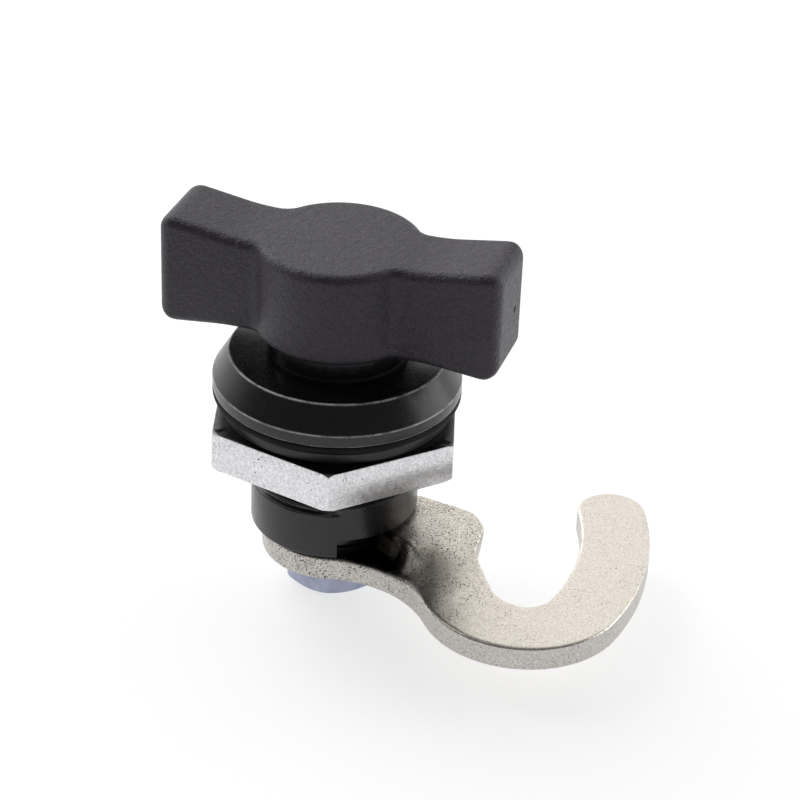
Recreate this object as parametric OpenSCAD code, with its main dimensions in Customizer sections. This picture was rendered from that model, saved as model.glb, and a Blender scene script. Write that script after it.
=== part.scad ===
// Quarter-turn rack latch with a wing knob, a clamp nut and a flat hook cam.
// Millimetres, +Z up. Z = 0 is the flange underside that seats on the panel.
// Shown in the position of the photograph.

/* [Housing] */
// Outside diameter of the flange
flange_d = 28.4; // [24:0.1:36]
// Height of the upright band at the rim of the flange
flange_band = 1.45; // [0.6:0.05:2]
// Diameter of the flat top of the flange
flange_top_d = 24.7; // [22.5:0.1:25]
// Height of the flange
flange_h = 4.5; // [3:0.05:6]
// Outside diameter of the barrel thread
thread_d = 19.4; // [18:0.1:22]
// Thread pitch
thread_pitch = 1; // [0.75:0.25:1.5]
// Depth below the flange at which the thread ends
thread_len = 12; // [9:0.1:13]
// Length of the barrel below the flange
barrel_len = 17.55; // [16:0.05:24]
// Height of the stop notch in the lower rim
notch_h = 2.4; // [1.8:0.1:4]

/* [Clamping parts] */
// Overhang of the rubber gasket past the flange
gasket_lip = 0; // [0:0.05:0.5]
// Thickness of the rubber gasket
gasket_t = 0.8; // [0.5:0.1:2]
// Step from the rim of the flange in to the rim of the clamp washer
washer_inset = 0.95; // [0:0.05:1.5]
// Thickness of the clamp washer
washer_t = 1.4; // [0.6:0.1:1.6]
// Open height left between gasket and washer
clamp_gap = 0.5; // [0.3:0.05:1]
// Step from the rim of the flange in to the flats of the nut
nut_inset = 0.6; // [0:0.1:1.5]
// Thickness of the nut
nut_t = 4.8; // [3:0.1:6]
// Height lost at the nut corners to the chamfer
nut_chamfer = 0.3; // [0.1:0.05:0.6]
// Direction of one nut corner
nut_angle = -91; // [-120:0.1:-60]

/* [Knob] */
// Length of the knob over both wings
knob_len = 39.8; // [34:0.1:52]
// Thickness of a wing
wing_w = 10.2; // [8:0.1:12]
// Diameter of the round boss
boss_d = 19.2; // [17:0.1:22]
// Height of the round boss
boss_h = 11.2; // [9.5:0.1:14]
// Rise of the wing tops from the boss to the tips
wing_rise = 1.4; // [0:0.05:3]
// Drop of the wing undersides from the boss to the tips
wing_drop = 0.85; // [0:0.05:1.5]
// Radius on the long edges of the wings and the top edge of the boss
knob_round = 0.8; // [0.5:0.1:2.2]
// Radius of the upper and lower corners at the wing tips
tip_round = 2; // [1:0.1:3]
// Radius of the upright edges at the wing tips
plan_round = 1.6; // [0.8:0.1:2]
// Direction of the long axis of the knob
knob_angle = -17.3; // [-45:0.1:45]
// Thread diameter of the grub screw
grub_d = 4; // [3:1:5]
// Length of the grub screw
grub_len = 4; // [3:0.5:5]
// Width of the grub screw socket across flats
grub_af = 2; // [1.5:0.5:2]
// Depth of the grub screw socket
grub_socket = 2; // [1:0.5:2.5]

/* [Spindle] */
// Diameter of the spindle shaft
shaft_d = 11; // [10:0.5:12]
// Diameter of the collar under the knob
collar_d = 16; // [14:0.5:17]
// Height of the collar
collar_h = 2.3; // [1.5:0.1:4]
// Thickness of the thrust washer under the collar
thrust_t = 0.5; // [0.3:0.1:1]
// Width of both square ends
square_w = 8; // [7.5:0.5:9]
// Depth to which the upper square enters the knob
socket_h = 8; // [6:0.5:8.5]
// Cross-section diameter of an O-ring
ring_cs = 1.5; // [1:0.1:1.8]
// Depth of the upper O-ring below the flange underside
ring_from = 3; // [2:0.5:4]
// Distance between the two O-rings
ring_step = 4; // [3:0.5:5]

/* [Hook cam] */
// Diameter of the cam hub
hub_d = 16.8; // [15:0.1:19]
// Thickness of the cam plate
cam_t = 3; // [2.5:0.1:4]
// Open height between barrel and cam
cam_gap = 1; // [0.6:0.1:1.5]
// Distance from the pivot to the centre of the hook throat
throat_reach = 25.3; // [23:0.1:32]
// Width of the hook throat
throat_w = 7.5; // [6:0.5:9]
// Width of the hook arm
hook_w = 8.1; // [6:0.1:10]
// Direction of the hook throat
throat_angle = -29.6; // [-45:0.1:0]
// Angle from the throat round to the hook tip
tip_turn = 36.5; // [25:0.5:50]
// Radius of the hollow between hub and hook
neck_r = 12; // [9:0.5:16]
// Distance from the arm axis to the back edge of the arm
arm_back = 6.5; // [5:0.1:7.2]
// Distance from the arm axis to the front wall of the stop lug
lug_front = 2.9; // [2:0.1:4]
// Distance along the slope at which the lug starts to fall
nose_from = 11.4; // [10.5:0.1:13]
// Length over which the lug falls to the plate
nose_run = 6; // [4:0.5:8]
// Clear height over the stop lug in the notch
lug_clear = 0.7; // [0.2:0.1:0.8]

/* [Stops] */
// Free turn of the cam clockwise from the shown position
stop_back = 36; // [10:1:60]
// Free turn of the cam anticlockwise from the shown position
stop_forward = 54; // [20:1:60]

/* [Cam bolt] */
// Thread diameter of the cam bolt
bolt_d = 6; // [4:1:6]
// Width of the bolt head across flats
bolt_af = 10; // [7:1:13]
// Height of the bolt head
bolt_head = 4; // [2.5:0.1:5]
// Length of the bolt below its head
bolt_len = 12; // [8:1:14]
// Direction of one corner of the bolt head
bolt_angle = -30; // [-60:0.5:60]
// Thickness of the toothed lock washer
lock_t = 0.6; // [0.4:0.1:1]
// Outside diameter of the toothed lock washer
lock_d = 11; // [9:0.5:13]

/* [Fits] */
// Radial gap of a turning or sliding fit
run_gap = 0.05; // [0.02:0.01:0.1]
// Gap per side of a seated fit
seat_gap = 0.05; // [0.02:0.01:0.15]

/* [Hidden] */
$fn = 96;
eps = 0.01;
// Thread and barrel
thread_depth = 0.54 * thread_pitch;
root_r = thread_d / 2 - thread_depth;
thread_top = -gasket_t - clamp_gap;
thread_turns = floor((thread_len + thread_top) / thread_pitch);
bore_r = shaft_d / 2 + run_gap;
notch_in = bore_r + 1.5;
// Clamped stack, no wider than the flange allows
gasket_d = flange_d + 2 * gasket_lip;
washer_d = flange_d - 2 * washer_inset;
nut_af = flange_d - 2 * nut_inset;
// Stack above the flange
collar_z = flange_h + thrust_t + run_gap;
knob_z = collar_z + collar_h;
// Stack below the flange
washer_z = -gasket_t - clamp_gap - washer_t;
nut_z = washer_z - nut_t;
cam_z = -barrel_len - cam_gap;
lock_z = cam_z - cam_t - lock_t;
slide_r = thread_d / 2 + 0.075;
// Knob
boss_r = boss_d / 2;
tip_x = knob_len / 2;
wing_root = boss_r - 2;
wing_up = atan((wing_rise + 0.05) / (tip_x - boss_r));
wing_down = atan((wing_drop + 0.3) / (tip_x - boss_r));
// Cam, in a frame whose x axis runs from the pivot to the throat
hub_r = hub_d / 2;
throat_r = throat_w / 2;
inner_r = throat_reach + throat_r;
outer_r = inner_r + hook_w;
disc_r = throat_r + hook_w;
neck_cos = (pow(hub_r + neck_r, 2) + pow(throat_reach, 2) - pow(disc_r + neck_r, 2))
    / (2 * (hub_r + neck_r) * throat_reach);
neck_turn = -acos(neck_cos);
neck_c = (hub_r + neck_r) * [cos(neck_turn), sin(neck_turn)];
hub_touch = hub_r * [cos(neck_turn), sin(neck_turn)];
disc_c = [throat_reach, 0];
disc_touch = disc_c + (neck_c - disc_c) * disc_r / (disc_r + neck_r);
wall_top = [throat_reach - throat_r - 3.05, 0.8];
wall_far = norm(disc_c - wall_top);
wall_turn = -atan2(wall_top[1], throat_reach - wall_top[0]) - asin(throat_r / wall_far);
wall_len = sqrt(pow(wall_far, 2) - pow(throat_r, 2));
wall_end = wall_top + wall_len * [cos(wall_turn), sin(wall_turn)];
// Stop lug and notch
lug_in = notch_in + 0.4;
lug_low = -20;
lug_high = 42;
nose_turn = -40;
lug_top = -barrel_len + notch_h - lug_clear;
stop_slack = 0.3;
notch_from = throat_angle + lug_low - stop_back - stop_slack;
notch_turn = lug_high - lug_low + stop_back + stop_forward + 2 * stop_slack;
// O-ring places
ring_r = bore_r - run_gap - ring_cs / 2;
ring_z = [-ring_from, -ring_from - ring_step];

// A flat ring standing on height z
module ring_at(r_out, r_in, z, h) {
    translate([0, 0, z]) difference() {
        cylinder(r = r_out, h = h);
        translate([0, 0, -1]) cylinder(r = r_in, h = h + 2);
    }
}

// A square bar on the axis, turned with the knob
module square_bar(w, z, h) {
    rotate(knob_angle) translate([-w / 2, -w / 2, z]) cube([w, w, h]);
}

// Half section of the threaded barrel with its flange
module housing_section() {
    crest_r = thread_d / 2;
    polygon(concat(
        [[0, flange_h], [flange_top_d / 2, flange_h], [flange_d / 2, flange_band], [flange_d / 2, 0],
            [crest_r, 0]],
        [for (i = [thread_turns - 1 : -1 : 0]) each
            [[crest_r, -thread_len + (i + 0.9) * thread_pitch],
                [root_r, -thread_len + (i + 0.45) * thread_pitch],
                [crest_r, -thread_len + i * thread_pitch]]],
        [[crest_r, -barrel_len + 0.3], [crest_r - 0.3, -barrel_len], [0, -barrel_len]]));
}

module housing() {
    color([0.07, 0.07, 0.075]) difference() {
        rotate_extrude() housing_section();
        translate([0, 0, -barrel_len - 1]) cylinder(r = bore_r, h = barrel_len + flange_h + 2);
        rotate(notch_from) rotate_extrude(angle = notch_turn)
            translate([notch_in, -barrel_len - 1]) square([thread_d, notch_h + 1]);
    }
}

module flange_gasket() {
    color([0.05, 0.05, 0.05])
        ring_at(gasket_d / 2, thread_d / 2 + seat_gap, -gasket_t, gasket_t);
}

module clamp_washer() {
    color([0.25, 0.25, 0.26]) ring_at(washer_d / 2, slide_r, washer_z, washer_t);
}

module hex_nut() {
    corner_r = nut_af / 2 / cos(30);
    face_r = corner_r - nut_chamfer / tan(30);
    color([0.8, 0.81, 0.82]) translate([0, 0, nut_z]) difference() {
        intersection() {
            rotate(nut_angle) cylinder(r = corner_r, h = nut_t, $fn = 6);
            rotate_extrude() polygon([[0, 0], [face_r, 0], [corner_r + 1, nut_chamfer + tan(30)],
                [corner_r + 1, nut_t - nut_chamfer - tan(30)], [face_r, nut_t], [0, nut_t]]);
        }
        translate([0, 0, -1]) cylinder(r = slide_r, h = nut_t + 2);
    }
}

module thrust_washer() {
    color([0.85, 0.85, 0.8]) ring_at(collar_d / 2 - 0.2, bore_r + 0.05, flange_h, thrust_t);
}

// Upper half of a wing's cross-section, its top face on the x axis
module wing_section(depth) {
    side = wing_w / 2 - knob_round;
    translate([-wing_w / 2, -depth]) square([wing_w, depth - knob_round]);
    translate([-side, -depth]) square([2 * side, depth]);
    for (y = [-side, side]) translate([y, -knob_round]) circle(r = knob_round);
}

// A bar with that section, its top face passing through [boss_r, 0, z] at a slope
module wing_bar(z, slope, depth) {
    translate([boss_r, 0, z]) rotate([0, -slope, 0]) translate([-wing_root, 0, 0])
        rotate([90, 0, 90]) linear_extrude(height = tip_x * 2) wing_section(depth);
}

// Fills the corner between two edges except for a round of radius r
module corner_cut(x, y, r) {
    translate([x - r, y - r]) difference() {
        square(r * 3);
        circle(r = r);
    }
}

// Side outline of a wing: only the tip is trimmed
module wing_side() {
    difference() {
        translate([0, -knob_len]) square([tip_x, 2 * knob_len]);
        corner_cut(tip_x, boss_h + wing_rise - 0.2, tip_round);
        mirror([0, 1]) corner_cut(tip_x, wing_drop - 0.1, tip_round);
    }
}

// Plan of a wing with rounded corners at the tip
module wing_plan() {
    difference() {
        translate([0, -wing_w]) square([tip_x, 2 * wing_w]);
        corner_cut(tip_x, wing_w / 2 - 0.05, plan_round);
        mirror([0, 1]) corner_cut(tip_x, wing_w / 2 - 0.05, plan_round);
    }
}

// One wing of the knob along +X, flared in height to its tip
module knob_wing() {
    intersection() {
        intersection() {
            intersection() {
                wing_bar(boss_h - 0.05, wing_up, knob_len);
                mirror([0, 0, 1]) wing_bar(-0.3, wing_down, knob_len);
            }
            translate([0, 0, -knob_len]) linear_extrude(height = 2 * knob_len) wing_plan();
        }
        rotate([90, 0, 0]) translate([0, 0, -wing_w]) linear_extrude(height = 2 * wing_w) wing_side();
    }
}

module knob_boss() {
    low_round = 0.8;
    rotate_extrude() union() {
        polygon([[0, 0], [boss_r - low_round, 0], [boss_r, low_round], [boss_r, boss_h - knob_round],
            [boss_r - knob_round, boss_h], [0, boss_h]]);
        translate([boss_r - knob_round, boss_h - knob_round]) circle(r = knob_round);
    }
}

module wing_knob() {
    color([0.2, 0.2, 0.21]) difference() {
        translate([0, 0, knob_z]) rotate(knob_angle) {
            knob_boss();
            knob_wing();
            rotate(180) knob_wing();
        }
        square_bar(square_w + 2 * seat_gap, knob_z - 1, socket_h + 1 + seat_gap);
        grub_place() cylinder(d = grub_d + 2 * seat_gap, h = boss_d);
    }
}

// Lays the grub screw in the back of the boss, pointing outward
module grub_place() {
    translate([0, 0, knob_z + socket_h / 2]) rotate(knob_angle)
        translate([0, square_w / 2, 0]) rotate([-90, 0, 0]) children();
}

module knob_grub_screw() {
    color([0.1, 0.1, 0.1]) grub_place() difference() {
        cylinder(d = grub_d, h = grub_len);
        translate([0, 0, grub_len - grub_socket])
            cylinder(d = grub_af / cos(30), h = grub_len, $fn = 6);
    }
}

module spindle() {
    groove_r = ring_r - ring_cs / 2 - 0.02;
    groove_w = ring_cs + 0.2;
    hole = bolt_len + 1.5;
    color([0.09, 0.09, 0.1]) difference() {
        union() {
            translate([0, 0, cam_z]) cylinder(d = shaft_d, h = collar_z - cam_z + eps);
            translate([0, 0, collar_z]) cylinder(d = collar_d, h = collar_h);
            square_bar(square_w, knob_z - eps, socket_h + eps);
            intersection() {
                square_bar(square_w, cam_z - cam_t + 0.2, cam_t);
                translate([0, 0, cam_z - cam_t]) cylinder(d = shaft_d, h = 2 * cam_t);
            }
        }
        for (z = ring_z) ring_at(shaft_d, groove_r, z - groove_w / 2, groove_w);
        translate([0, 0, lock_z]) cylinder(d = bolt_d + 2 * seat_gap, h = lock_t + hole);
    }
}

module spindle_o_rings() {
    color([0.03, 0.03, 0.03]) for (z = ring_z) translate([0, 0, z]) rotate_extrude()
        translate([ring_r, 0]) circle(d = ring_cs);
}

// Cone spring washer between the barrel and the cam
module spring_washer() {
    sheet = 0.5 * cam_gap;
    low = cam_z;
    high = -barrel_len - run_gap;
    in_r = shaft_d / 2 + 0.1;
    out_r = notch_in - 0.1;
    color([0.6, 0.6, 0.62]) rotate_extrude() polygon([[in_r, high], [in_r, high - sheet],
        [out_r - 0.2, low], [out_r, low], [out_r, low + sheet]]);
}

// Ring sector of the plan from angle a to angle b
module plan_sector(r_in, r_out, a, b) {
    far = r_out / cos((b - a) / 2) + 1;
    intersection() {
        difference() {
            circle(r = r_out);
            circle(r = r_in);
        }
        polygon([[0, 0], far * [cos(a), sin(a)], far * [cos((a + b) / 2), sin((a + b) / 2)],
            far * [cos(b), sin(b)]]);
    }
}

// Back end of the arm beside the throat
function arm_back_points() = [wall_top, [wall_top[0] - 1.5, 5], [wall_top[0] - 3.5, arm_back]];

module cam_plan() {
    tip_c = (inner_r + hook_w / 2) * [cos(tip_turn), sin(tip_turn)];
    difference() {
        union() {
            circle(r = hub_r);
            difference() {
                translate(disc_c) circle(r = disc_r);
                translate([0, 0]) square([throat_reach * 2, disc_r + 1]);
            }
            polygon(concat([[0, 0], hub_touch, disc_touch, disc_c], arm_back_points(),
                [[0, arm_back]]));
            plan_sector(inner_r, outer_r, -0.5, tip_turn);
            translate(tip_c) circle(d = hook_w);
        }
        translate(neck_c) circle(r = neck_r);
        translate(disc_c) circle(r = throat_r);
        intersection() {
            circle(r = inner_r);
            polygon([wall_end, wall_top, wall_top + [-1.5, 4.2], wall_top + [-1.5, 40], [60, 40],
                [60, 0], disc_c]);
        }
    }
}

// Plan of the raised stop lug, kept clear of the inner rim of the barrel
module lug_plan() {
    nose = nose_from + nose_run;
    intersection() {
        polygon(concat([[0, -lug_front], [nose_from + 0.6, -lug_front],
            nose * [cos(nose_turn), sin(nose_turn)] + [3.5, 4.2], wall_end], arm_back_points(),
            [[0, arm_back]]));
        plan_sector(lug_in, outer_r, lug_low, lug_high);
    }
}

// The lug, its nose sloping down to the plate on the side of the throat
module stop_lug() {
    lug_h = lug_top - cam_z;
    fall = atan(lug_h / nose_run);
    difference() {
        translate([0, 0, cam_z - eps]) linear_extrude(height = lug_h + eps) lug_plan();
        rotate(nose_turn) translate([nose_from, -outer_r, lug_top]) rotate([0, fall, 0])
            translate([-1, 0, 0]) cube([outer_r, 2 * outer_r, outer_r]);
    }
}

module hook_cam() {
    color([0.78, 0.75, 0.7]) difference() {
        rotate(throat_angle) {
            translate([0, 0, cam_z - cam_t]) linear_extrude(height = cam_t) cam_plan();
            stop_lug();
        }
        square_bar(square_w + 2 * seat_gap, cam_z - cam_t - 1, cam_t + 2);
    }
}

module cam_lock_washer() {
    teeth = 10;
    color([0.62, 0.63, 0.66]) difference() {
        ring_at(lock_d / 2, bolt_d / 2 + 0.15, lock_z, lock_t);
        for (i = [0 : teeth - 1]) rotate(i * 360 / teeth)
            translate([lock_d / 2 - 0.9, -0.35, lock_z - 1]) cube([2, 0.7, lock_t + 2]);
    }
}

module cam_bolt() {
    corner_r = bolt_af / 2 / cos(30);
    bevel = corner_r - bolt_af / 2 * 0.95;
    color([0.68, 0.71, 0.78]) union() {
        translate([0, 0, lock_z - bolt_head]) intersection() {
            rotate(bolt_angle) cylinder(r = corner_r, h = bolt_head, $fn = 6);
            rotate_extrude() polygon([[0, 0], [corner_r - bevel, 0], [corner_r + 1, (bevel + 1) * tan(30)],
                [corner_r + 1, bolt_head], [0, bolt_head]]);
        }
        translate([0, 0, lock_z - eps]) cylinder(d = bolt_d, h = bolt_len + eps);
    }
}

housing();
flange_gasket();
clamp_washer();
hex_nut();
thrust_washer();
wing_knob();
knob_grub_screw();
spindle();
spindle_o_rings();
spring_washer();
hook_cam();
cam_lock_washer();
cam_bolt();
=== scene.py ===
# Quarter-turn rack latch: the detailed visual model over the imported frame.
# Sizes are in millimetres here and become metres when a mesh is made.
import math

import bmesh
import bpy
import numpy as np
from mathutils import Matrix, Vector


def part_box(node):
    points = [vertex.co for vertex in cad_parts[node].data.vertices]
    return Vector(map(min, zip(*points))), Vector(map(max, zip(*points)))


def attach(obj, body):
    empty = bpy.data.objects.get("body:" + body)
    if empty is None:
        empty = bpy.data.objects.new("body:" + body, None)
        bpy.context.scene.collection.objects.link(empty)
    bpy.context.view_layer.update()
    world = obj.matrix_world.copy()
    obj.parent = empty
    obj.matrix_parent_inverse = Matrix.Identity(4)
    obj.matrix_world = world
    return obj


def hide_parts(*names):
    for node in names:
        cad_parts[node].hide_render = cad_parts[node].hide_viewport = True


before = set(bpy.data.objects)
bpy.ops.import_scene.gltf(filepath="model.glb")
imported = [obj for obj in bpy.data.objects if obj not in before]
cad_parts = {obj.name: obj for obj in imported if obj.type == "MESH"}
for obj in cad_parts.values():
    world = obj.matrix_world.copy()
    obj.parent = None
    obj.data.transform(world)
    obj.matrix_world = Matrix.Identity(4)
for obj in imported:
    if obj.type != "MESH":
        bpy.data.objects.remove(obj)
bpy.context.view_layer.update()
scene = bpy.context.scene
MM = 0.001


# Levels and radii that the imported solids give

def end_level(node, end):
    """Lowest (0) or highest (1) level of a node"""
    return round(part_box(node)[end][2] / MM, 3)


def half_width(node):
    """Reach of a node along x from the axis"""
    return round(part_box(node)[1][0] / MM, 3)


FLANGE_R = half_width("housing")
FLANGE_H = end_level("housing", 1)
BARREL_LOW = end_level("housing", 0)
GASKET_LOW = end_level("flange_gasket", 0)
WASHER_R = half_width("clamp_washer")
WASHER_TOP = end_level("clamp_washer", 1)
NUT_TOP = end_level("hex_nut", 1)
NUT_LOW = end_level("hex_nut", 0)
CAM_TOP = end_level("spring_washer", 0)
CAM_LOW = end_level("hook_cam", 0)
LUG_TOP = end_level("hook_cam", 1)
BOLT_TOP = end_level("cam_lock_washer", 0)
BOLT_LOW = end_level("cam_bolt", 0)
BOLT_END = end_level("cam_bolt", 1)

# Sizes of the part's source that its boxes don't tell
FLANGE_BAND = 1.45
FLANGE_TOP_R = 12.35
THREAD_R = 9.7
PITCH = 1.0
THREAD_DEPTH = 0.54
BORE_R = 5.55
NOTCH_IN = 7.05
NOTCH_ROOF = -15.15
NOTCH_FROM = -85.9
NOTCH_TO = 66.7
SLIDE_R = 9.775
NUT_AF = 27.2
NUT_ANGLE = -91.0
NUT_CHAMFER = 0.3
KNOB_ANGLE = -17.3
KNOB_Z = 7.35
SQUARE = 8.1
SQUARE_DEPTH = 8.05
GRUB_R = 2.05
GRUB_FROM = 3.5
GRUB_UP = 4.0
CAM_ANGLE = -29.6
BOLT_AF = 10.0
BOLT_R = 3.0


# Mesh helpers

def ramp(value, low, high):
    """0 below low, 1 above high and a smooth rise between"""
    share = np.clip((value - low) / (high - low), 0.0, 1.0)
    return share * share * (3 - 2 * share)


def shade(obj, angle=34.0):
    """Smooth shading with edges above the angle kept sharp"""
    mesh = obj.data
    mesh.polygons.foreach_set("use_smooth", [True] * len(mesh.polygons))
    mesh.set_sharp_from_angle(angle=math.radians(angle))
    mesh.update()


def make_object(name, points, faces):
    """A mesh object from points in millimetres, its faces turned outward"""
    mesh = bpy.data.meshes.new(name)
    mesh.from_pydata([Vector(p) * MM for p in points], [], faces)
    form = bmesh.new()
    form.from_mesh(mesh)
    bmesh.ops.recalc_face_normals(form, faces=form.faces)
    form.to_mesh(mesh)
    form.free()
    obj = bpy.data.objects.new(name, mesh)
    scene.collection.objects.link(obj)
    return obj


def bake(obj):
    """Puts the result of the object's modifiers into its mesh"""
    bpy.context.view_layer.update()
    graph = bpy.context.evaluated_depsgraph_get()
    mesh = bpy.data.meshes.new_from_object(obj.evaluated_get(graph))
    obj.modifiers.clear()
    obj.data = mesh


def combine(obj, other, operation):
    """Boolean of the object with another, which is used up"""
    step = obj.modifiers.new("combine", "BOOLEAN")
    step.operation = operation
    step.object = other
    step.solver = "EXACT"
    bake(obj)
    bpy.data.objects.remove(other)


def remesh(obj, voxel):
    """Even quads of the given size, which also rounds the edges a little"""
    step = obj.modifiers.new("voxels", "REMESH")
    step.mode = "VOXEL"
    step.voxel_size = voxel * MM
    bake(obj)


def relax(obj, rounds):
    """Moves each vertex halfway to the middle of its neighbours, in some rounds"""
    mesh = obj.data
    count = len(mesh.vertices)
    spots = np.empty(count * 3)
    mesh.vertices.foreach_get("co", spots)
    spots = spots.reshape(-1, 3)
    edges = np.empty(len(mesh.edges) * 2, dtype=np.int32)
    mesh.edges.foreach_get("vertices", edges)
    edges = edges.reshape(-1, 2)
    degree = np.bincount(edges.ravel(), minlength=count)[:, None]
    for _ in range(rounds):
        total = np.zeros_like(spots)
        for axis in range(3):
            total[:, axis] = (np.bincount(edges[:, 0], spots[edges[:, 1], axis], count)
                              + np.bincount(edges[:, 1], spots[edges[:, 0], axis], count))
        spots += 0.5 * (total / degree - spots)
    mesh.vertices.foreach_set("co", spots.ravel())
    mesh.update()


def arc(centre, radius, start, end, steps):
    """Points on an arc from one angle to another, in degrees"""
    turns = [math.radians(start + (end - start) * i / steps) for i in range(steps + 1)]
    return [(centre[0] + radius * math.cos(t), centre[1] + radius * math.sin(t)) for t in turns]


def circle(radius, count):
    """Points evenly round the axis"""
    return arc((0, 0), radius, 0, 360 - 360 / count, count - 1)


def rounded(corners, segments=5):
    """A closed outline whose corners (x, y, radius) are replaced by arcs"""
    out = []
    count = len(corners)
    for i, (x, y, radius) in enumerate(corners):
        here = Vector((x, y))
        back = (Vector(corners[i - 1][:2]) - here).normalized()
        ahead = (Vector(corners[(i + 1) % count][:2]) - here).normalized()
        if radius <= 0:
            out.append((x, y))
            continue
        half = back.angle(ahead) / 2
        centre = here + (back + ahead).normalized() * radius / math.sin(half)
        first = here + back * radius / math.tan(half) - centre
        last = here + ahead * radius / math.tan(half) - centre
        sweep = math.pi - 2 * half
        for k in range(segments + 1):
            t = k / segments
            spot = first * math.sin((1 - t) * sweep) + last * math.sin(t * sweep)
            out.append(tuple(centre + spot / math.sin(sweep)))
    return out


def lathe(name, profile, steps, shift=None):
    """A closed profile (r, z) turned round the axis, with an optional change of r by z and angle"""
    points = []
    for i in range(steps):
        turn = 2 * math.pi * i / steps
        for r, z in profile:
            if shift is not None:
                r = shift(r, z, turn)
            points.append((r * math.cos(turn), r * math.sin(turn), z))
    rows = len(profile)
    faces = []
    for i in range(steps):
        a = i * rows
        b = (i + 1) % steps * rows
        for k in range(rows):
            n = (k + 1) % rows
            faces.append((a + k, b + k, b + n, a + n))
    return make_object(name, points, faces)


def prism(name, loop, low, high):
    """An outline raised from one height to another"""
    count = len(loop)
    points = [(x, y, low) for x, y in loop] + [(x, y, high) for x, y in loop]
    faces = [(i, (i + 1) % count, count + (i + 1) % count, count + i) for i in range(count)]
    faces.append(tuple(reversed(range(count))))
    faces.append(tuple(range(count, 2 * count)))
    return make_object(name, points, faces)


def turn_mesh(obj, degrees):
    """Turns the mesh itself round the vertical axis"""
    obj.data.transform(Matrix.Rotation(math.radians(degrees), 4, "Z"))


def square_bar(low, high):
    """The square of the spindle, as a cutter"""
    half = SQUARE / 2
    bar = prism("cutter", [(-half, -half), (half, -half), (half, half), (-half, half)], low, high)
    turn_mesh(bar, KNOB_ANGLE)
    return bar


# Material helpers

def node_tree(name):
    """A fresh material with its node tree and main shader"""
    material = bpy.data.materials.new(name)
    material.use_nodes = True
    tree = material.node_tree
    return material, tree, tree.nodes["Principled BSDF"]


def noise(tree, size, detail=3.0, rough=0.55):
    """Noise whose features are about size millimetres across"""
    place = tree.nodes.new("ShaderNodeTexCoord")
    texture = tree.nodes.new("ShaderNodeTexNoise")
    texture.inputs["Scale"].default_value = 1.0 / (size * MM)
    texture.inputs["Detail"].default_value = detail
    texture.inputs["Roughness"].default_value = rough
    tree.links.new(place.outputs["Object"], texture.inputs["Vector"])
    return texture.outputs["Fac"]


def remap(tree, value, low, high, to_low, to_high):
    """A linear map of a value, held at its ends"""
    node = tree.nodes.new("ShaderNodeMapRange")
    for name, number in (("From Min", low), ("From Max", high), ("To Min", to_low), ("To Max", to_high)):
        node.inputs[name].default_value = number
    tree.links.new(value, node.inputs["Value"])
    return node.outputs["Result"]


def math_node(tree, operation, first, second):
    """Two values put together"""
    node = tree.nodes.new("ShaderNodeMath")
    node.operation = operation
    tree.links.new(first, node.inputs[0])
    tree.links.new(second, node.inputs[1])
    return node.outputs["Value"]


def blend_color(tree, factor, first, second):
    """A colour between two others"""
    node = tree.nodes.new("ShaderNodeMix")
    node.data_type = "RGBA"
    tree.links.new(factor, node.inputs["Factor"])
    for socket, color in (("A", first), ("B", second)):
        target = [s for s in node.inputs if s.name == socket and s.type == "RGBA"][0]
        if isinstance(color, tuple):
            target.default_value = (*color, 1.0)
        else:
            tree.links.new(color, target)
    return [s for s in node.outputs if s.type == "RGBA"][0]


def bump(tree, heights):
    """Stacked bumps from (value, depth in millimetres, strength)"""
    normal = None
    for value, depth, strength in heights:
        node = tree.nodes.new("ShaderNodeBump")
        node.inputs["Distance"].default_value = depth * MM
        node.inputs["Strength"].default_value = strength
        tree.links.new(value, node.inputs["Height"])
        if normal is not None:
            tree.links.new(normal, node.inputs["Normal"])
        normal = node.outputs["Normal"]
    return normal


def edge_wear_and_highlight(tree, low, high):
    """1 on outer edges and 0 on flats and in hollows"""
    node = tree.nodes.new("ShaderNodeNewGeometry")
    return remap(tree, node.outputs["Pointiness"], low, high, 0.0, 1.0)


def rim_wear_and_highlight(tree, rims):
    """1 along circular edges (radius, height, width) in millimetres, broken up by noise: lines of wear and
    painted highlight
    """
    place = tree.nodes.new("ShaderNodeTexCoord")
    split = tree.nodes.new("ShaderNodeSeparateXYZ")
    tree.links.new(place.outputs["Object"], split.inputs[0])
    level = tree.nodes.new("ShaderNodeCombineXYZ")
    tree.links.new(split.outputs["X"], level.inputs["X"])
    tree.links.new(split.outputs["Y"], level.inputs["Y"])
    radius = tree.nodes.new("ShaderNodeVectorMath")
    radius.operation = "LENGTH"
    tree.links.new(level.outputs["Vector"], radius.inputs[0])
    section = tree.nodes.new("ShaderNodeCombineXYZ")
    tree.links.new(radius.outputs["Value"], section.inputs["X"])
    tree.links.new(split.outputs["Z"], section.inputs["Z"])
    wear_and_glint = remap(tree, noise(tree, 1.6, 3.0), 0.35, 0.6, 0.25, 1.0)
    total = None
    for rim, height, width in rims:
        far = tree.nodes.new("ShaderNodeVectorMath")
        far.operation = "DISTANCE"
        far.inputs[1].default_value = (rim * MM, 0.0, height * MM)
        tree.links.new(section.outputs["Vector"], far.inputs[0])
        share = remap(tree, far.outputs["Value"], 0.0, width * MM, 1.0, 0.0)
        total = share if total is None else math_node(tree, "MAXIMUM", total, share)
    return math_node(tree, "MULTIPLY", total, wear_and_glint)


def away_share(tree, near, far, at_near, at_far):
    """A value that changes between two distances from the origin, in millimetres"""
    place = tree.nodes.new("ShaderNodeTexCoord")
    away = tree.nodes.new("ShaderNodeVectorMath")
    away.operation = "LENGTH"
    tree.links.new(place.outputs["Object"], away.inputs[0])
    return remap(tree, away.outputs["Value"], near * MM, far * MM, at_near, at_far)


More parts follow.
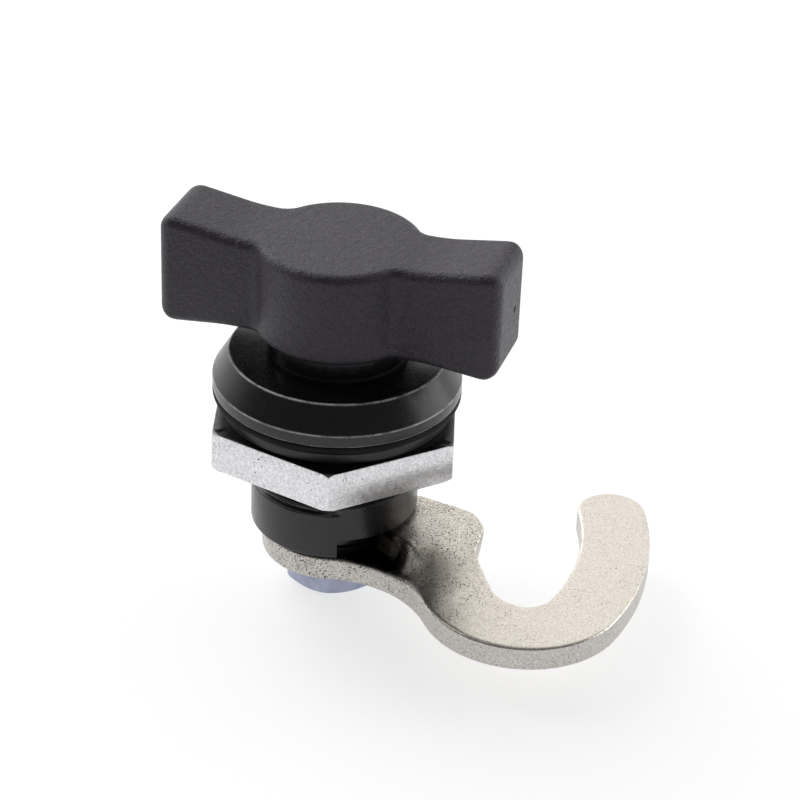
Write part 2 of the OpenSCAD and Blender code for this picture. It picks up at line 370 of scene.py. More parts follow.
def shown_rays(tree):
    """1 for rays that show the background: straight, mirrored or through glass"""
    path = tree.nodes.new("ShaderNodeLightPath")
    value = path.outputs["Is Camera Ray"]
    for kind in ("Is Glossy Ray", "Is Transmission Ray"):
        value = math_node(tree, "MAXIMUM", value, path.outputs[kind])
    return value


def coat(name, dark, light, rough, grain, depth, metal=0.0, mottle=5.0, shine=0.5, rims=(), wear_and_glint=None):
    """A surface with mottled colour, varied roughness, a fine grain and bright rims of wear and painted
    highlight
    """
    material, tree, shader = node_tree(name)
    cloud = remap(tree, noise(tree, mottle), 0.3, 0.7, 0.0, 1.0)
    color = blend_color(tree, cloud, dark, light)
    if rims:
        color = blend_color(tree, rim_wear_and_highlight(tree, rims), color, wear_and_glint)
    tree.links.new(color, shader.inputs["Base Color"])
    speck = noise(tree, grain * 1.7)
    tree.links.new(remap(tree, speck, 0.3, 0.7, rough[0], rough[1]), shader.inputs["Roughness"])
    shader.inputs["Metallic"].default_value = metal
    shader.inputs["Specular IOR Level"].default_value = shine
    heights = [(noise(tree, grain), depth, 0.6), (noise(tree, grain * 4), depth * 2, 0.35)]
    tree.links.new(bump(tree, heights), shader.inputs["Normal"])
    return material


# Materials

knob_coat = coat("knob_charcoal", (0.017, 0.012, 0.020), (0.042, 0.031, 0.049), (0.34, 0.52), 0.22, 0.20,
                 mottle=0.3)
# Edges of the flange painted with bright lines: partly wear of the paint, partly painted highlight
flange_rims = ((FLANGE_TOP_R, FLANGE_H, 0.22), (FLANGE_R, FLANGE_BAND, 0.16), (FLANGE_R, 0.0, 0.22))
housing_coat = coat("housing_black", (0.005, 0.005, 0.006), (0.009, 0.009, 0.010), (0.22, 0.32), 0.5, 0.006,
                    rims=flange_rims, wear_and_glint=(0.9, 0.9, 0.92))
spindle_coat = coat("spindle_black", (0.005, 0.005, 0.006), (0.009, 0.009, 0.010), (0.20, 0.28), 0.5, 0.004)
rubber = coat("gasket_rubber", (0.005, 0.005, 0.005), (0.009, 0.009, 0.009), (0.62, 0.78), 0.25, 0.02,
              shine=0.2)
ring_rubber = coat("ring_rubber", (0.006, 0.006, 0.006), (0.010, 0.010, 0.010), (0.45, 0.6), 0.3, 0.01)
washer_coat = coat("washer_black", (0.012, 0.012, 0.013), (0.022, 0.022, 0.023), (0.36, 0.5), 0.3, 0.012)
nylon = coat("thrust_plastic", (0.012, 0.012, 0.012), (0.020, 0.020, 0.020), (0.45, 0.55), 0.4, 0.01)
black_steel = coat("screw_black", (0.030, 0.030, 0.031), (0.055, 0.055, 0.057), (0.35, 0.45), 0.3, 0.01, 0.8)
spring_steel = coat("spring_black", (0.020, 0.020, 0.020), (0.035, 0.035, 0.035), (0.4, 0.5), 0.3, 0.006, 0.6)
lock_zinc = coat("lock_zinc", (0.50, 0.53, 0.58), (0.60, 0.63, 0.68), (0.26, 0.38), 0.3, 0.008, 1.0)
bolt_zinc = coat("bolt_zinc", (0.29, 0.31, 0.41), (0.38, 0.41, 0.53), (0.16, 0.28), 0.4, 0.01, 1.0, 1.6)


# Middle of the painted shade in the corner between the lug and the barrel, the reach of that shade and its
# lowest level
LUG_SHADE_SPOT = ((5.4, -8.0, -18.2), 2.6, 6.0, -18.7)
# Colour of the painted shade in that corner
PAINTED_SHADE = (0.026, 0.023, 0.019)


def pitted(tree, size, share, reach):
    """1 on the plain surface and 0 in fine pits that lie in clouds, thickest near the origin"""
    thick = away_share(tree, reach[0], reach[1], share[0], share[1])
    cloud = remap(tree, noise(tree, 2.2), 0.3, 0.7, -0.05, 0.05)
    level = math_node(tree, "ADD", thick, cloud)
    edge = math_node(tree, "SUBTRACT", noise(tree, size, 1.0, 0.5), level)
    return remap(tree, edge, 0.0, 0.05, 0.0, 1.0)


def shade_by_facing(tree):
    """1 on upright walls and 0 on level faces, for painted light and shade by which way a face turns"""
    place = tree.nodes.new("ShaderNodeTexCoord")
    split = tree.nodes.new("ShaderNodeSeparateXYZ")
    tree.links.new(place.outputs["Normal"], split.inputs[0])
    return remap(tree, split.outputs["Z"], 0.25, 0.75, 1.0, 0.0)


def painted_shade_mask(tree, spot, near, far, ground):
    """Mask of painted shade: 1 inside a pocket round a spot and 0 past it or below the ground level, in
    millimetres
    """
    place = tree.nodes.new("ShaderNodeTexCoord")
    away = tree.nodes.new("ShaderNodeVectorMath")
    away.operation = "DISTANCE"
    away.inputs[1].default_value = Vector(spot) * MM
    tree.links.new(place.outputs["Object"], away.inputs[0])
    inside = remap(tree, away.outputs["Value"], near * MM, far * MM, 1.0, 0.0)
    split = tree.nodes.new("ShaderNodeSeparateXYZ")
    tree.links.new(place.outputs["Object"], split.inputs[0])
    above = remap(tree, split.outputs["Z"], (ground - 0.5) * MM, ground * MM, 0.0, 1.0)
    return math_node(tree, "MULTIPLY", inside, above)


def tinted(color, share):
    """A colour made darker or lighter by a share"""
    return tuple(share * c for c in color)


def plated(name, tone, wall, rough, grain, share, reach, depth, near_shade, wear_and_glint=None, pocket=None):
    """Plated cast metal: fine grain in tone and height, dark pits, lit and shaded copies of the finish by
    facing as painted light and shade, painted shade near the axis and in a pocket, and bright edges of wear
    and painted highlight
    """
    material, tree, shader = node_tree(name)
    fine = remap(tree, noise(tree, grain, 2.0), 0.32, 0.68, 0.0, 1.0)
    color = blend_color(tree, fine, tinted(tone, 0.80), tinted(tone, 1.10))
    # Painted shade that darkens the finish near the axis, under the parts above it
    shadow = blend_color(tree, fine, tinted(tone, 0.70 * near_shade), tinted(tone, 1.15 * near_shade))
    color = blend_color(tree, away_share(tree, reach[0], reach[1], 1.0, 0.0), color, shadow)
    # Painted light and shade by facing: walls and level faces take lit and shaded copies of the finish
    walls = blend_color(tree, fine, tinted(wall, 0.76), tinted(wall, 1.14))
    color = blend_color(tree, shade_by_facing(tree), color, walls)
    holes = pitted(tree, grain * 0.9, share, reach)
    color = blend_color(tree, holes, tinted(wall, 0.16), color)
    # Bright edges: partly wear, partly a painted highlight along the nut's top
    if wear_and_glint is not None:
        color = blend_color(tree, edge_wear_and_highlight(tree, 0.54, 0.62), color, wear_and_glint)
    # Painted shade in the corner between the lug and the barrel
    if pocket is not None:
        color = blend_color(tree, painted_shade_mask(tree, *pocket), color, PAINTED_SHADE)
    tree.links.new(color, shader.inputs["Base Color"])
    tree.links.new(remap(tree, noise(tree, 0.8), 0.3, 0.7, rough[0], rough[1]), shader.inputs["Roughness"])
    shader.inputs["Metallic"].default_value = 1.0
    heights = [(noise(tree, grain * 1.6), depth, 0.5), (noise(tree, grain * 5), depth * 2, 0.3),
               (holes, depth, 0.5)]
    tree.links.new(bump(tree, heights), shader.inputs["Normal"])
    return material


# The nut's level faces take a dark tone: painted shade on its top under the washer and flange
nut_zinc = plated("nut_zinc", (0.08, 0.08, 0.085), (0.77, 0.77, 0.79), (0.26, 0.38), 0.26,
                  (0.25, 0.25), (10, 30), 0.04, 1.0, (0.76, 0.76, 0.78))
# The cam's walls take a darker copy of the nickel: painted shade
cam_nickel = plated("cam_nickel", (0.84, 0.78, 0.69), (0.58, 0.55, 0.52), (0.26, 0.38), 0.20,
                    (0.38, 0.28), (20, 33), 0.025, 0.96, pocket=LUG_SHADE_SPOT)


# Housing: flange, barrel with helical grooves and their run-out, and the stop notch

GROOVE_END_Z = -11.62
GROOVE_END_TURN = -98.0
GROOVE_HALF = 0.42
GROOVE_SLOPE = 0.85
# Unrolled angles between which the cast groove begins and ends, and the full thread begins
CAST_BEGIN = (-230, -200)
CAST_END = (-100, -78)
FULL_BEGIN = (100, 150)
NOTCH_OUT = 12.0
THREAD_ROWS = 130
THREAD_HIGH = -0.9
THREAD_LOW = -12.6


def groove_fade(turn):
    """Depth share of the groove along its unrolled angle: a cast run-out, a bare stretch, then full"""
    cast = ramp(turn, *CAST_BEGIN) * (1 - ramp(turn, *CAST_END))
    return cast + ramp(turn, *FULL_BEGIN)


def thread_shift(r, z, turn):
    """Radius of the threaded length at a height and an angle"""
    if not THREAD_LOW <= z <= THREAD_HIGH or r < THREAD_R - 0.01:
        return r
    angle = math.degrees(turn)
    path = (z - GROOVE_END_Z) / PITCH * 360 + GROOVE_END_TURN
    unrolled = angle + 360 * round((path - angle) / 360)
    offset = abs(path - unrolled) / 360
    depth = min(max(1 - offset / GROOVE_HALF, 0.0), GROOVE_SLOPE) / GROOVE_SLOPE
    return r - THREAD_DEPTH * depth * groove_fade(unrolled)


def housing_profile():
    """Half section of the housing, with many rows where the thread runs"""
    flange = rounded([(BORE_R, FLANGE_H, 0.2), (FLANGE_TOP_R, FLANGE_H, 0.2), (FLANGE_R, FLANGE_BAND, 0.15),
                      (FLANGE_R, 0.0, 0.2), (THREAD_R, 0.0, 0.0)])
    run = THREAD_LOW - THREAD_HIGH
    thread = [(THREAD_R, THREAD_HIGH + run * i / THREAD_ROWS) for i in range(THREAD_ROWS + 1)]
    foot = rounded([(THREAD_R, THREAD_LOW, 0.0), (THREAD_R, BARREL_LOW, 0.25), (BORE_R, BARREL_LOW, 0.2),
                    (BORE_R, FLANGE_H, 0.0)])
    return flange + thread + foot[1:-1]


def housing_body():
    """The barrel with its flange and thread, and the notch cut from its foot"""
    body = lathe("housing_dressed", housing_profile(), 300, thread_shift)
    notch = arc((0, 0), NOTCH_IN, NOTCH_FROM, NOTCH_TO, 60)
    notch += arc((0, 0), NOTCH_OUT, NOTCH_TO, NOTCH_FROM, 60)
    combine(body, prism("cutter", notch, BARREL_LOW - 1, NOTCH_ROOF), "DIFFERENCE")
    shade(body, 40)
    return body


# Gasket and clamp washer with rounded edges

HOLE_EDGE = 0.1
RIM_EDGE = 0.25
GASKET_FIT = 0.05


def ring_body(name, hole, rim, low, high):
    """A flat ring with rounded rims"""
    corners = [(hole, high, HOLE_EDGE), (rim, high, RIM_EDGE), (rim, low, RIM_EDGE), (hole, low, HOLE_EDGE)]
    ring = lathe(name, rounded(corners), 200)
    shade(ring)
    return ring


# Nut and bolt head: hexagons with turned chamfers and finely broken edges

EDGE_BREAK = 0.16
NUT_CORNER = 0.15
BORE_BREAK = 0.5
BORE_FLAT = 2.0
BOLT_CORNER = 1.0
# Turn of the bolt head as the photo shows it, 8 degrees past the solid's
BOLT_ANGLE = -38.0
# End face of the bolt head as a share of its flats, the radius of its even middle and the shank's point
BOLT_FACE = 0.84
BOLT_MIDDLE = 2.4
BOLT_POINT = 0.6


def hexagon(flats, angle, edge):
    """Polar outline (turn, radius) of a hexagon whose upright corners are rounded, from one corner round"""
    corner = flats / 2 / math.cos(math.pi / 6)
    ends = [(x, y, edge) for x, y in arc((0, 0), corner, angle, angle + 300, 5)]
    loop = rounded(ends, 4)
    out = []
    for here, ahead in zip(loop, loop[1:] + loop[:1]):
        steps = 24 if math.dist(here, ahead) > 1 else 1
        for i in range(steps):
            x = here[0] + (ahead[0] - here[0]) * i / steps
            y = here[1] + (ahead[1] - here[1]) * i / steps
            out.append((math.atan2(y, x), math.hypot(x, y)))
    return out


def broken_edge(radius, face, level, inward):
    """Points (r, z) from the end face over its edge to a flat, with the chamfer past the face radius"""
    start = min(face, radius - EDGE_BREAK)
    fall = max((radius - face) * math.tan(math.pi / 6), 0.0)
    points = [(start, level)]
    if fall > EDGE_BREAK:
        points.append((radius - 0.08, level + inward * (fall - 0.05)))
    else:
        points.append((radius - 0.05, level + inward * 0.05))
    points.append((radius, level + inward * (fall + EDGE_BREAK)))
    return points


def columns_body(name, columns):
    """A closed mesh from columns of (turn, [(r, z), ...]), whose ends meet on the axis or in a bore"""
    rows = len(columns[0][1])
    points = [(r * math.cos(turn), r * math.sin(turn), z) for turn, profile in columns for r, z in profile]
    faces = []
    for i in range(len(columns)):
        a = i * rows
        b = (i + 1) % len(columns) * rows
        faces += [(a + k, b + k, b + (k + 1) % rows, a + (k + 1) % rows) for k in range(rows)]
    body = make_object(name, points, faces)
    form = bmesh.new()
    form.from_mesh(body.data)
    bmesh.ops.remove_doubles(form, verts=form.verts, dist=1e-6)
    bmesh.ops.dissolve_degenerate(form, edges=form.edges, dist=1e-7)
    bmesh.ops.recalc_face_normals(form, faces=form.faces)
    form.to_mesh(body.data)
    form.free()
    shade(body, 28)
    return body


def nut_body():
    """A hexagon ring with a broken bore"""
    corner = NUT_AF / 2 / math.cos(math.pi / 6)
    face = corner - NUT_CHAMFER / math.tan(math.pi / 6)
    bore = SLIDE_R
    columns = []
    for turn, radius in hexagon(NUT_AF, NUT_ANGLE, NUT_CORNER):
        top = broken_edge(radius, face, NUT_TOP, -1)
        low = broken_edge(radius, face, NUT_LOW, 1)
        profile = [(bore, NUT_TOP - BORE_BREAK), (bore + BORE_BREAK, NUT_TOP), (bore + BORE_FLAT, NUT_TOP)]
        profile += top + low[::-1]
        profile += [(bore + BORE_FLAT, NUT_LOW), (bore + BORE_BREAK, NUT_LOW), (bore, NUT_LOW + BORE_BREAK)]
        columns.append((turn, profile))
    return columns_body("hex_nut_dressed", columns)


def bolt_body():
    """A hexagon head with a turned chamfer, and a plain shank"""
    columns = []
    for turn, radius in hexagon(BOLT_AF, BOLT_ANGLE, BOLT_CORNER):
        low = broken_edge(radius, BOLT_FACE * BOLT_AF / 2, BOLT_LOW, 1)
        top = [(radius, BOLT_TOP - 0.1), (radius - 0.1, BOLT_TOP)]
        profile = [(0.0, BOLT_LOW), (BOLT_MIDDLE, BOLT_LOW)] + low + top
        profile += [(BOLT_R, BOLT_TOP), (BOLT_R, BOLT_END - BOLT_POINT)]
        profile += [(BOLT_R - BOLT_POINT, BOLT_END), (0.0, BOLT_END)]
        columns.append((turn, profile))
    return columns_body("cam_bolt_dressed", columns)


# Wing knob: stacked outlines that follow the rising wings, with tight hollows beside the boss

BOSS_APEX = 9.6
BOSS_R = 9.3
BOSS_H = 11.2
TIP_X = 19.9
WING_HALF = 5.1
HOLLOW_R = 2.0
EDGE_R = 1.1
PLAN_R = 1.6
TIP_FALL = 0.75
TIP_RUN = 2.2
RISE = 1.4
DROP = 0.85
BEND_X = 11.0
BEND_SOFT = 2.0
LOW_BEND_X = 11.9
LOW_BEND_SOFT = 1.5
ACROSS = 5
GRUB_CUT = 14.1
# Casting pits of the coat: one on the front edge of a wing, one on its end
KNOB_PITS = ((13.2, -5.0, 11.55), (20.0, 1.4, 5.6))
PIT_SIZE = (0.33, 0.5, 0.45)


def soft_ramp(x, start, end, height, blend):
    """0 before start, then a straight rise to height at end, with a soft bend"""
    slope = height / (end - start)
    past = abs(x) - start
    if past < -blend:
        return 0.0
    if past < blend:
        return slope * (past + blend) ** 2 / (4 * blend)
    return slope * past


def tip_fall(x):
    """Extra rounding of the wing's end, seen from the side"""
    return TIP_FALL * max((abs(x) - TIP_X + TIP_RUN) / TIP_RUN, 0.0) ** 2


def knob_top(x):
    """Height of the knob's top over its boss's foot"""
    return BOSS_H + soft_ramp(x, BEND_X, TIP_X, RISE, BEND_SOFT) - tip_fall(x)


def knob_low(x):
    """Height of the knob's underside over its boss's foot"""
    return tip_fall(x) - soft_ramp(x, LOW_BEND_X, TIP_X, DROP, LOW_BEND_SOFT)


def knob_outline(inset):
    """Half outline from the middle of one tip to the middle of the other, moved in by inset"""
    boss_y = BOSS_APEX - BOSS_R
    hollow_y = WING_HALF + HOLLOW_R
    hollow_x = math.sqrt((BOSS_R + HOLLOW_R) ** 2 - (hollow_y - boss_y) ** 2)
    lean = math.degrees(math.atan2(hollow_y - boss_y, hollow_x))
    tip = TIP_X - inset
    side = WING_HALF - inset
    corner = max(PLAN_R - inset, 0.1)
    half = [(tip, (side - corner) * i / ACROSS) for i in range(ACROSS)]
    half += arc((tip - corner, side - corner), corner, 0, 90, 8)
    run = tip - corner - hollow_x
    half += [(tip - corner - run * i / 20, side) for i in range(1, 20)]
    half += arc((hollow_x, hollow_y), HOLLOW_R + inset, 270, 180 + lean, 12)
    half += arc((0, boss_y), BOSS_R - inset, lean, 90, 24)[1:]
    return half + [(-x, y) for x, y in reversed(half[:-1])]


def knob_cap(points, ring, count, half):
    """Rows of faces across a ring, from one tip to the other"""
    rows = [[ring + (ACROSS - k) % count for k in range(2 * ACROSS + 1)]]
    for i in range(ACROSS + 1, half - ACROSS - 1):
        near = ring + i
        far = ring + count - i
        row = [near]
        for k in range(1, 2 * ACROSS):
            share = k / (2 * ACROSS)
            a, b = points[near], points[far]
            row.append(len(points))
            points.append(tuple(a[n] + (b[n] - a[n]) * share for n in range(3)))
        rows.append(row + [far])
    rows.append([ring + half - 1 - ACROSS + k for k in range(2 * ACROSS + 1)])
    faces = []
    for first, second in zip(rows, rows[1:]):
        faces += [(first[k], first[k + 1], second[k + 1], second[k]) for k in range(2 * ACROSS)]
    return faces


def knob_rings():
    """Rings of the outline from the underside to the top, closed by two strips"""
    steps = 7
    levels = []
    for i in range(steps + 1):
        turn = math.pi / 2 * i / steps
        levels.append((EDGE_R * (1 - math.sin(turn)), "low", EDGE_R * (1 - math.cos(turn))))
    for i in range(steps + 1):
        turn = math.pi / 2 * i / steps
        levels.append((EDGE_R * (1 - math.cos(turn)), "top", EDGE_R * (1 - math.sin(turn))))
    points = []
    rings = []
    for inset, side, depth in levels:
        half = knob_outline(inset)
        loop = half + [(x, -y) for x, y in reversed(half[1:-1])]
        rings.append(len(points))
        for x, y in loop:
            z = knob_low(x) + depth if side == "low" else knob_top(x) - depth
            points.append((x, y, z))
    count = len(loop)
    faces = []
    for a, b in zip(rings, rings[1:]):
        faces += [(a + i, a + (i + 1) % count, b + (i + 1) % count, b + i) for i in range(count)]
    for ring in (rings[0], rings[-1]):
        faces += knob_cap(points, ring, count, len(half))
    return make_object("wing_knob_dressed", points, faces)


def bubble(*radii):
    """A small ball cutter with a radius for each axis"""
    form = bmesh.new()
    bmesh.ops.create_icosphere(form, subdivisions=2, radius=MM)
    bmesh.ops.scale(form, vec=radii, verts=form.verts)
    mesh = bpy.data.meshes.new("cutter")
    form.to_mesh(mesh)
    form.free()
    obj = bpy.data.objects.new("cutter", mesh)
    scene.collection.objects.link(obj)
    return obj


def knob_body():
    """The knob with the spindle's square, the grub screw's hole and two casting pits"""
    body = knob_rings()
    body.data.transform(Matrix.Translation((0, 0, KNOB_Z * MM)))
    turn_mesh(body, KNOB_ANGLE)
    combine(body, square_bar(KNOB_Z - 1, KNOB_Z + SQUARE_DEPTH), "DIFFERENCE")
    hole = prism("cutter", circle(GRUB_R, 48), 0, GRUB_CUT)
    place = Matrix.Translation((0, GRUB_FROM * MM, (KNOB_Z + GRUB_UP) * MM))
    hole.data.transform(place @ Matrix.Rotation(-math.pi / 2, 4, "X"))
    turn_mesh(hole, KNOB_ANGLE)
    combine(body, hole, "DIFFERENCE")
    for x, y, z in KNOB_PITS:
        pit = bubble(*PIT_SIZE)
        pit.data.transform(Matrix.Translation(Vector((x, y, KNOB_Z + z)) * MM))
        turn_mesh(pit, KNOB_ANGLE)
        combine(body, pit, "DIFFERENCE")
    shade(body, 40)
    return body


# Hook cam: a cast plate with a raised, sloping stop lug, in a frame whose x axis meets the throat

HUB_R = 8.4
REACH = 25.3
THROAT_R = 3.75
HOOK_W = 8.1
NECK_R = 12.0
TIP_TURN = 36.5
ARM_BACK = 6.5
INNER_R = REACH + THROAT_R
OUTER_R = INNER_R + HOOK_W
DISC_R = THROAT_R + HOOK_W
CAM_VOXEL = 0.17
# Outer corner of the throat's near wall, and the corners behind it (x, y, radius) up to the back of the arm
WALL_TOP = (REACH - THROAT_R - 2.9, 0.9)
WALL_TOP_R = 1.2
ARM_CORNERS = ((WALL_TOP[0] - 1.2, 5.2, 2.2), (WALL_TOP[0] - 3.7, ARM_BACK + 0.5, 2.6))
# Lug under the barrel: the radii and the angles (degrees) between which it stands in the notch
LUG_IN = 7.45
LUG_REACH = 10.3
LUG_LOW = -20.0
LUG_HIGH = 42.0
# Front of the lug past the barrel: its wall's place, slant and foot, and the shoulder that it eases into
LUG_FRONT = -2.7
LUG_SLANT = -0.25
WALL_FOOT = 0.6
WALL_RUN = 1.8
SHOULDER = 7.0
SHOULDER_FROM = 11.5
SHOULDER_TO = 15.0
# Fall of the lug's height along the nose: most of it early, the tail's share late
NOSE_TURN = -20.0
NOSE_FROM = 12.5
NOSE_TO = 22.0
TAIL = 0.28
TAIL_FROM = 18.0
TAIL_TO = 30.0
# How far the lug's end wall is drawn in at its bottom, and the spans over which this sets in and ends
DRAFT = 0.9
END_ALONG = (13.0, 17.0)
END_ASIDE = (-2.0, 0.5)
END_REACH = (20.5, 22.0)


def neck_circle():
    """Centre of the neck's arc and the angles (degrees) at which it leaves the hub and meets the bend"""
    cosine = ((HUB_R + NECK_R) ** 2 + REACH ** 2 - (DISC_R + NECK_R) ** 2) / (2 * (HUB_R + NECK_R) * REACH)
    neck = -math.degrees(math.acos(cosine))
    centre = arc((0, 0), HUB_R + NECK_R, neck, neck, 1)[0]
    lean = math.degrees(math.atan2(-centre[1], REACH - centre[0]))
    return centre, neck, lean


def cam_outline():
    """Outline of the plate, anticlockwise from the back of the hub"""
    neck_c, neck, lean = neck_circle()
    back = math.degrees(math.asin(ARM_BACK / HUB_R))
    tip_c = arc((0, 0), INNER_R + HOOK_W / 2, TIP_TURN, TIP_TURN, 1)[0]
    loop = arc((0, 0), HUB_R, back, 360 + neck, 70)
    loop += arc(neck_c, NECK_R, 180 + neck, lean, 30)[1:]
    loop += arc((REACH, 0), DISC_R, lean - 180, 0, 40)[1:]
    loop += arc((0, 0), OUTER_R, 0, TIP_TURN, 40)[1:]
    loop += arc(tip_c, HOOK_W / 2, TIP_TURN, TIP_TURN + 180, 24)[1:]
    loop += arc((0, 0), INNER_R, TIP_TURN, 0, 36)[1:]
    far = math.hypot(REACH - WALL_TOP[0], WALL_TOP[1])
    wall = -math.atan2(WALL_TOP[1], REACH - WALL_TOP[0]) - math.asin(THROAT_R / far)
    run = math.sqrt(far ** 2 - THROAT_R ** 2)
    wall_end = (WALL_TOP[0] + run * math.cos(wall), WALL_TOP[1] + run * math.sin(wall))
    loop += arc((REACH, 0), THROAT_R, 0, math.degrees(math.atan2(wall_end[1], wall_end[0] - REACH)), 24)[1:]
    hub_end = (HUB_R * math.cos(math.radians(back)), ARM_BACK)
    corners = [(*wall_end, 0), (*WALL_TOP, WALL_TOP_R), *ARM_CORNERS, (*hub_end, 0)]
    return loop + rounded(corners, 6)[1:-1]


def front_depth(along, aside):
    """Distance from the front edge of the arm, along its neck and then round the bend"""
    centre = neck_circle()[0]
    neck = np.hypot(along - centre[0], aside - centre[1]) - NECK_R
    bend = DISC_R - np.hypot(along - REACH, aside)
    past = (centre[0] - REACH) * aside - centre[1] * (along - REACH)
    return np.where(past > 0, bend, neck)


def lug_front(along, aside, radius, turn):
    """Share of the lug's height at its front: a steep wall at the barrel that eases to a shoulder"""
    wall = LUG_FRONT + LUG_SLANT * (along - LUG_REACH)
    run = WALL_FOOT + WALL_RUN * ramp(radius, LUG_REACH, LUG_REACH + 3.5)
    steep = np.clip((aside - wall) / run + 1.0, 0.0, 1.0)
    rest = 1 - np.clip(front_depth(along, aside) / SHOULDER, 0.0, 1.0)
    shoulder = 1 - rest * rest
    outer = steep + (shoulder - steep) * ramp(along, SHOULDER_FROM, SHOULDER_TO)
    under = ramp(turn, LUG_LOW, LUG_LOW + 3.0) * (1 - ramp(turn, LUG_HIGH - 2.5, LUG_HIGH))
    return under + (outer - under) * ramp(radius, LUG_REACH, LUG_REACH + 1.0)


def lug_height(along, aside):
    """Height of the raised lug over the plate: full beside the hub, falling away towards the bend"""
    radius = np.hypot(along, aside)
    turn = np.degrees(np.arctan2(aside, along))
    nose = math.radians(NOSE_TURN)
    path = along * math.cos(nose) + aside * math.sin(nose)
    fall = (1 - TAIL) * (1 - ramp(path, NOSE_FROM, NOSE_TO)) + TAIL * (1 - ramp(path, TAIL_FROM, TAIL_TO))
    fall = fall * (1 - ramp(radius, REACH + 1.0, REACH + 3.0))
    inside = ramp(radius, LUG_IN, LUG_IN + 0.35)
    return (LUG_TOP - CAM_TOP) * fall * inside * lug_front(along, aside, radius, turn)


def raise_lug(obj):
    """Stretches the plate upward where the lug stands and draws its end wall in towards the bottom"""
    mesh = obj.data
    spots = np.empty(len(mesh.vertices) * 3)
    mesh.vertices.foreach_get("co", spots)
    spots = spots.reshape(-1, 3) / MM
    along, aside = spots[:, 0].copy(), spots[:, 1]
    share = np.clip((spots[:, 2] - CAM_LOW) / (CAM_TOP - CAM_LOW), 0.0, 1.0)
    spots[:, 2] += share ** 2 * lug_height(along, aside)
    near_end = ramp(along, *END_ALONG) * ramp(aside, *END_ASIDE)
    near_end *= 1 - ramp(np.hypot(along, aside), *END_REACH)
    spots[:, 0] -= DRAFT * near_end * (1 - share)
    mesh.vertices.foreach_set("co", (spots * MM).ravel())
    mesh.update()


def cam_body():
    """The plate with the spindle's square, softened edges and the raised lug"""
    cam = prism("hook_cam_dressed", cam_outline(), CAM_LOW, CAM_TOP)
    bar = square_bar(CAM_LOW - 1, CAM_TOP + 1)
    turn_mesh(bar, -CAM_ANGLE)
    combine(cam, bar, "DIFFERENCE")
    remesh(cam, CAM_VOXEL)
    relax(cam, 2)
    raise_lug(cam)
    relax(cam, 3)
    turn_mesh(cam, CAM_ANGLE)
    shade(cam, 70)
    return cam


housing = housing_body()
gasket = ring_body("flange_gasket_dressed", THREAD_R + GASKET_FIT, FLANGE_R, GASKET_LOW, 0.0)
washer = ring_body("clamp_washer_dressed", SLIDE_R, WASHER_R, NUT_TOP, WASHER_TOP)
nut = nut_body()
bolt = bolt_body()
knob = knob_body()
cam = cam_body()

# Bodies, replaced nodes and finishes

dressed = (
    (housing, "barrel", "housing", "housing_black", housing_coat),
    (gasket, "barrel", "flange_gasket", "gasket_rubber", rubber),
    (washer, "washer", "clamp_washer", "washer_black", washer_coat),
    (nut, "nut", "hex_nut", "nut_zinc", nut_zinc),
    (knob, "rotor", "wing_knob", "knob_charcoal", knob_coat),
    (cam, "rotor", "hook_cam", "cam_nickel", cam_nickel),
    (bolt, "rotor", "cam_bolt", "bolt_zinc", bolt_zinc),
)
for piece, body, node, slot, material in dressed:
    piece.data.materials.clear()
    piece.data.materials.append(material)
    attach(piece, body)
    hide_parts(node)

carried = {
    "thrust_washer": nylon,
    "knob_grub_screw": black_steel,
    "spindle": spindle_coat,
    "spindle_o_rings": ring_rubber,
    "spring_washer": spring_steel,
    "cam_lock_washer": lock_zinc,
}
for node, material in carried.items():
    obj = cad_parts[node]
    if not obj.material_slots:
        obj.data.materials.append(material)
    for place in obj.material_slots:
        place.material = material

# Floor: pale paint that shows white, a little more so far from the object

FLOOR_Z = BOLT_LOW - 0.05
FLOOR_HALF = 3000
FLOOR_CORNERS = ((-1, -1), (1, -1), (1, 1), (-1, 1))
FLOOR_COLOR = (0.55, 0.55, 0.55, 1.0)
WHITE = (1.0, 1.0, 1.0, 1.0)
# Distances between which the floor's glow rises, in millimetres, and its two levels
FLOOR_GLOW = (120, 500, 0.67, 0.86)
floor_points = [(FLOOR_HALF * x, FLOOR_HALF * y, FLOOR_Z) for x, y in FLOOR_CORNERS]
floor = make_object("floor", floor_points, [(0, 1, 2, 3)])
floor_paint, floor_tree, floor_shader = node_tree("floor_paint")
floor_shader.inputs["Base Color"].default_value = FLOOR_COLOR
floor_shader.inputs["Roughness"].default_value = 0.9
floor_shader.inputs["Emission Color"].default_value = WHITE
floor_level = away_share(floor_tree, *FLOOR_GLOW)
floor_glow = math_node(floor_tree, "MULTIPLY", shown_rays(floor_tree), floor_level)
floor_tree.links.new(floor_glow, floor_shader.inputs["Emission Strength"])
floor.data.materials.append(floor_paint)

# World: a white backdrop behind the object that falls off to a dim room above and behind the camera

# Direction of the backdrop's middle and how much it falls off to the sides
BACKDROP_WAY = (0.0, 1.0, -0.6)
BACKDROP_FLANK = 0.4
# Where the backdrop ends and is full, the room's level past its end, and the share for diffuse rays
BACKDROP_END = -0.62
BACKDROP_FULL = 0.08
ROOM_LEVEL = 0.16
DIFFUSE_SHARE = 0.9

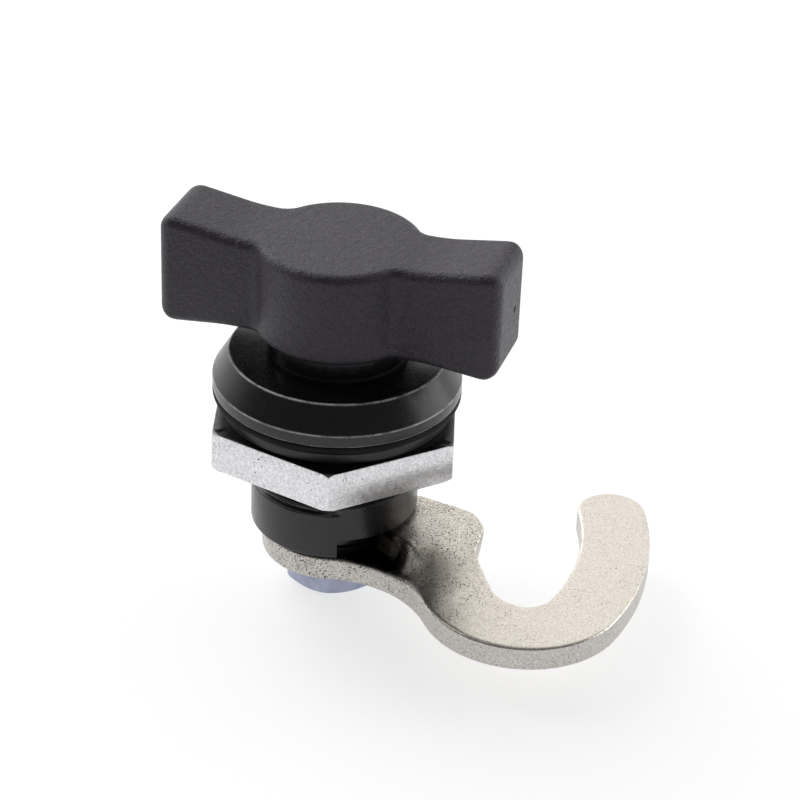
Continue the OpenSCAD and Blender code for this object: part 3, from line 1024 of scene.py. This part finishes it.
world = bpy.data.worlds.new("studio")
scene.world = world
world.use_nodes = True
sky = world.node_tree
sky_shader = sky.nodes["Background"]
sky_shader.inputs["Color"].default_value = WHITE
sky_way = sky.nodes.new("ShaderNodeTexCoord")
sky_side = sky.nodes.new("ShaderNodeVectorMath")
sky_side.operation = "DOT_PRODUCT"
sky_side.inputs[1].default_value = BACKDROP_WAY
sky.links.new(sky_way.outputs["Generated"], sky_side.inputs[0])
sky_wide = sky.nodes.new("ShaderNodeSeparateXYZ")
sky.links.new(sky_way.outputs["Generated"], sky_wide.inputs[0])
sky_square = math_node(sky, "MULTIPLY", sky_wide.outputs["X"], sky_wide.outputs["X"])
sky_flank = remap(sky, sky_square, 0.0, 1.0, 0.0, BACKDROP_FLANK)
sky_front = math_node(sky, "SUBTRACT", sky_side.outputs["Value"], sky_flank)
backdrop = remap(sky, sky_front, BACKDROP_END, BACKDROP_FULL, ROOM_LEVEL, 1.0)
sky_share = remap(sky, shown_rays(sky), 0, 1, DIFFUSE_SHARE, 1.0)
sky_level = math_node(sky, "MULTIPLY", backdrop, sky_share)
sky.links.new(sky_level, sky_shader.inputs["Strength"])


# Lamps and camera

def softbox(name, spot, size, power):
    """A square area lamp that faces the origin"""
    lamp = bpy.data.lights.new(name, "AREA")
    lamp.shape = "SQUARE"
    lamp.size = size * MM
    lamp.energy = power
    obj = bpy.data.objects.new(name, lamp)
    scene.collection.objects.link(obj)
    obj.location = Vector(spot) * MM
    obj.rotation_euler = (-Vector(spot)).to_track_quat("-Z", "Y").to_euler()


softbox("key_box", (-370, 340, 390), 520, 1.8)
softbox("right_box", (460, 60, 120), 320, 0.5)

# The camera was fitted to the photo: its place and the directions of its right side, top and back
EYE = (7.22, -259.373, 152.906)
view = bpy.data.cameras.new("view")
view.lens = 118.92
view.sensor_width = 36.0
view.clip_start = 0.01
view.clip_end = 10.0
camera = bpy.data.objects.new("view", view)
scene.collection.objects.link(camera)
right = Vector((0.9992, 0.02045, 0.03424))
up = Vector((-0.03988, 0.51226, 0.8579))
back = Vector((0.0, -0.85858, 0.51267))
pose = Matrix((right, up, back)).transposed().to_4x4()
camera.matrix_world = Matrix.Translation(Vector(EYE) * MM) @ pose
scene.camera = camera
scene.view_settings.view_transform = "Standard"
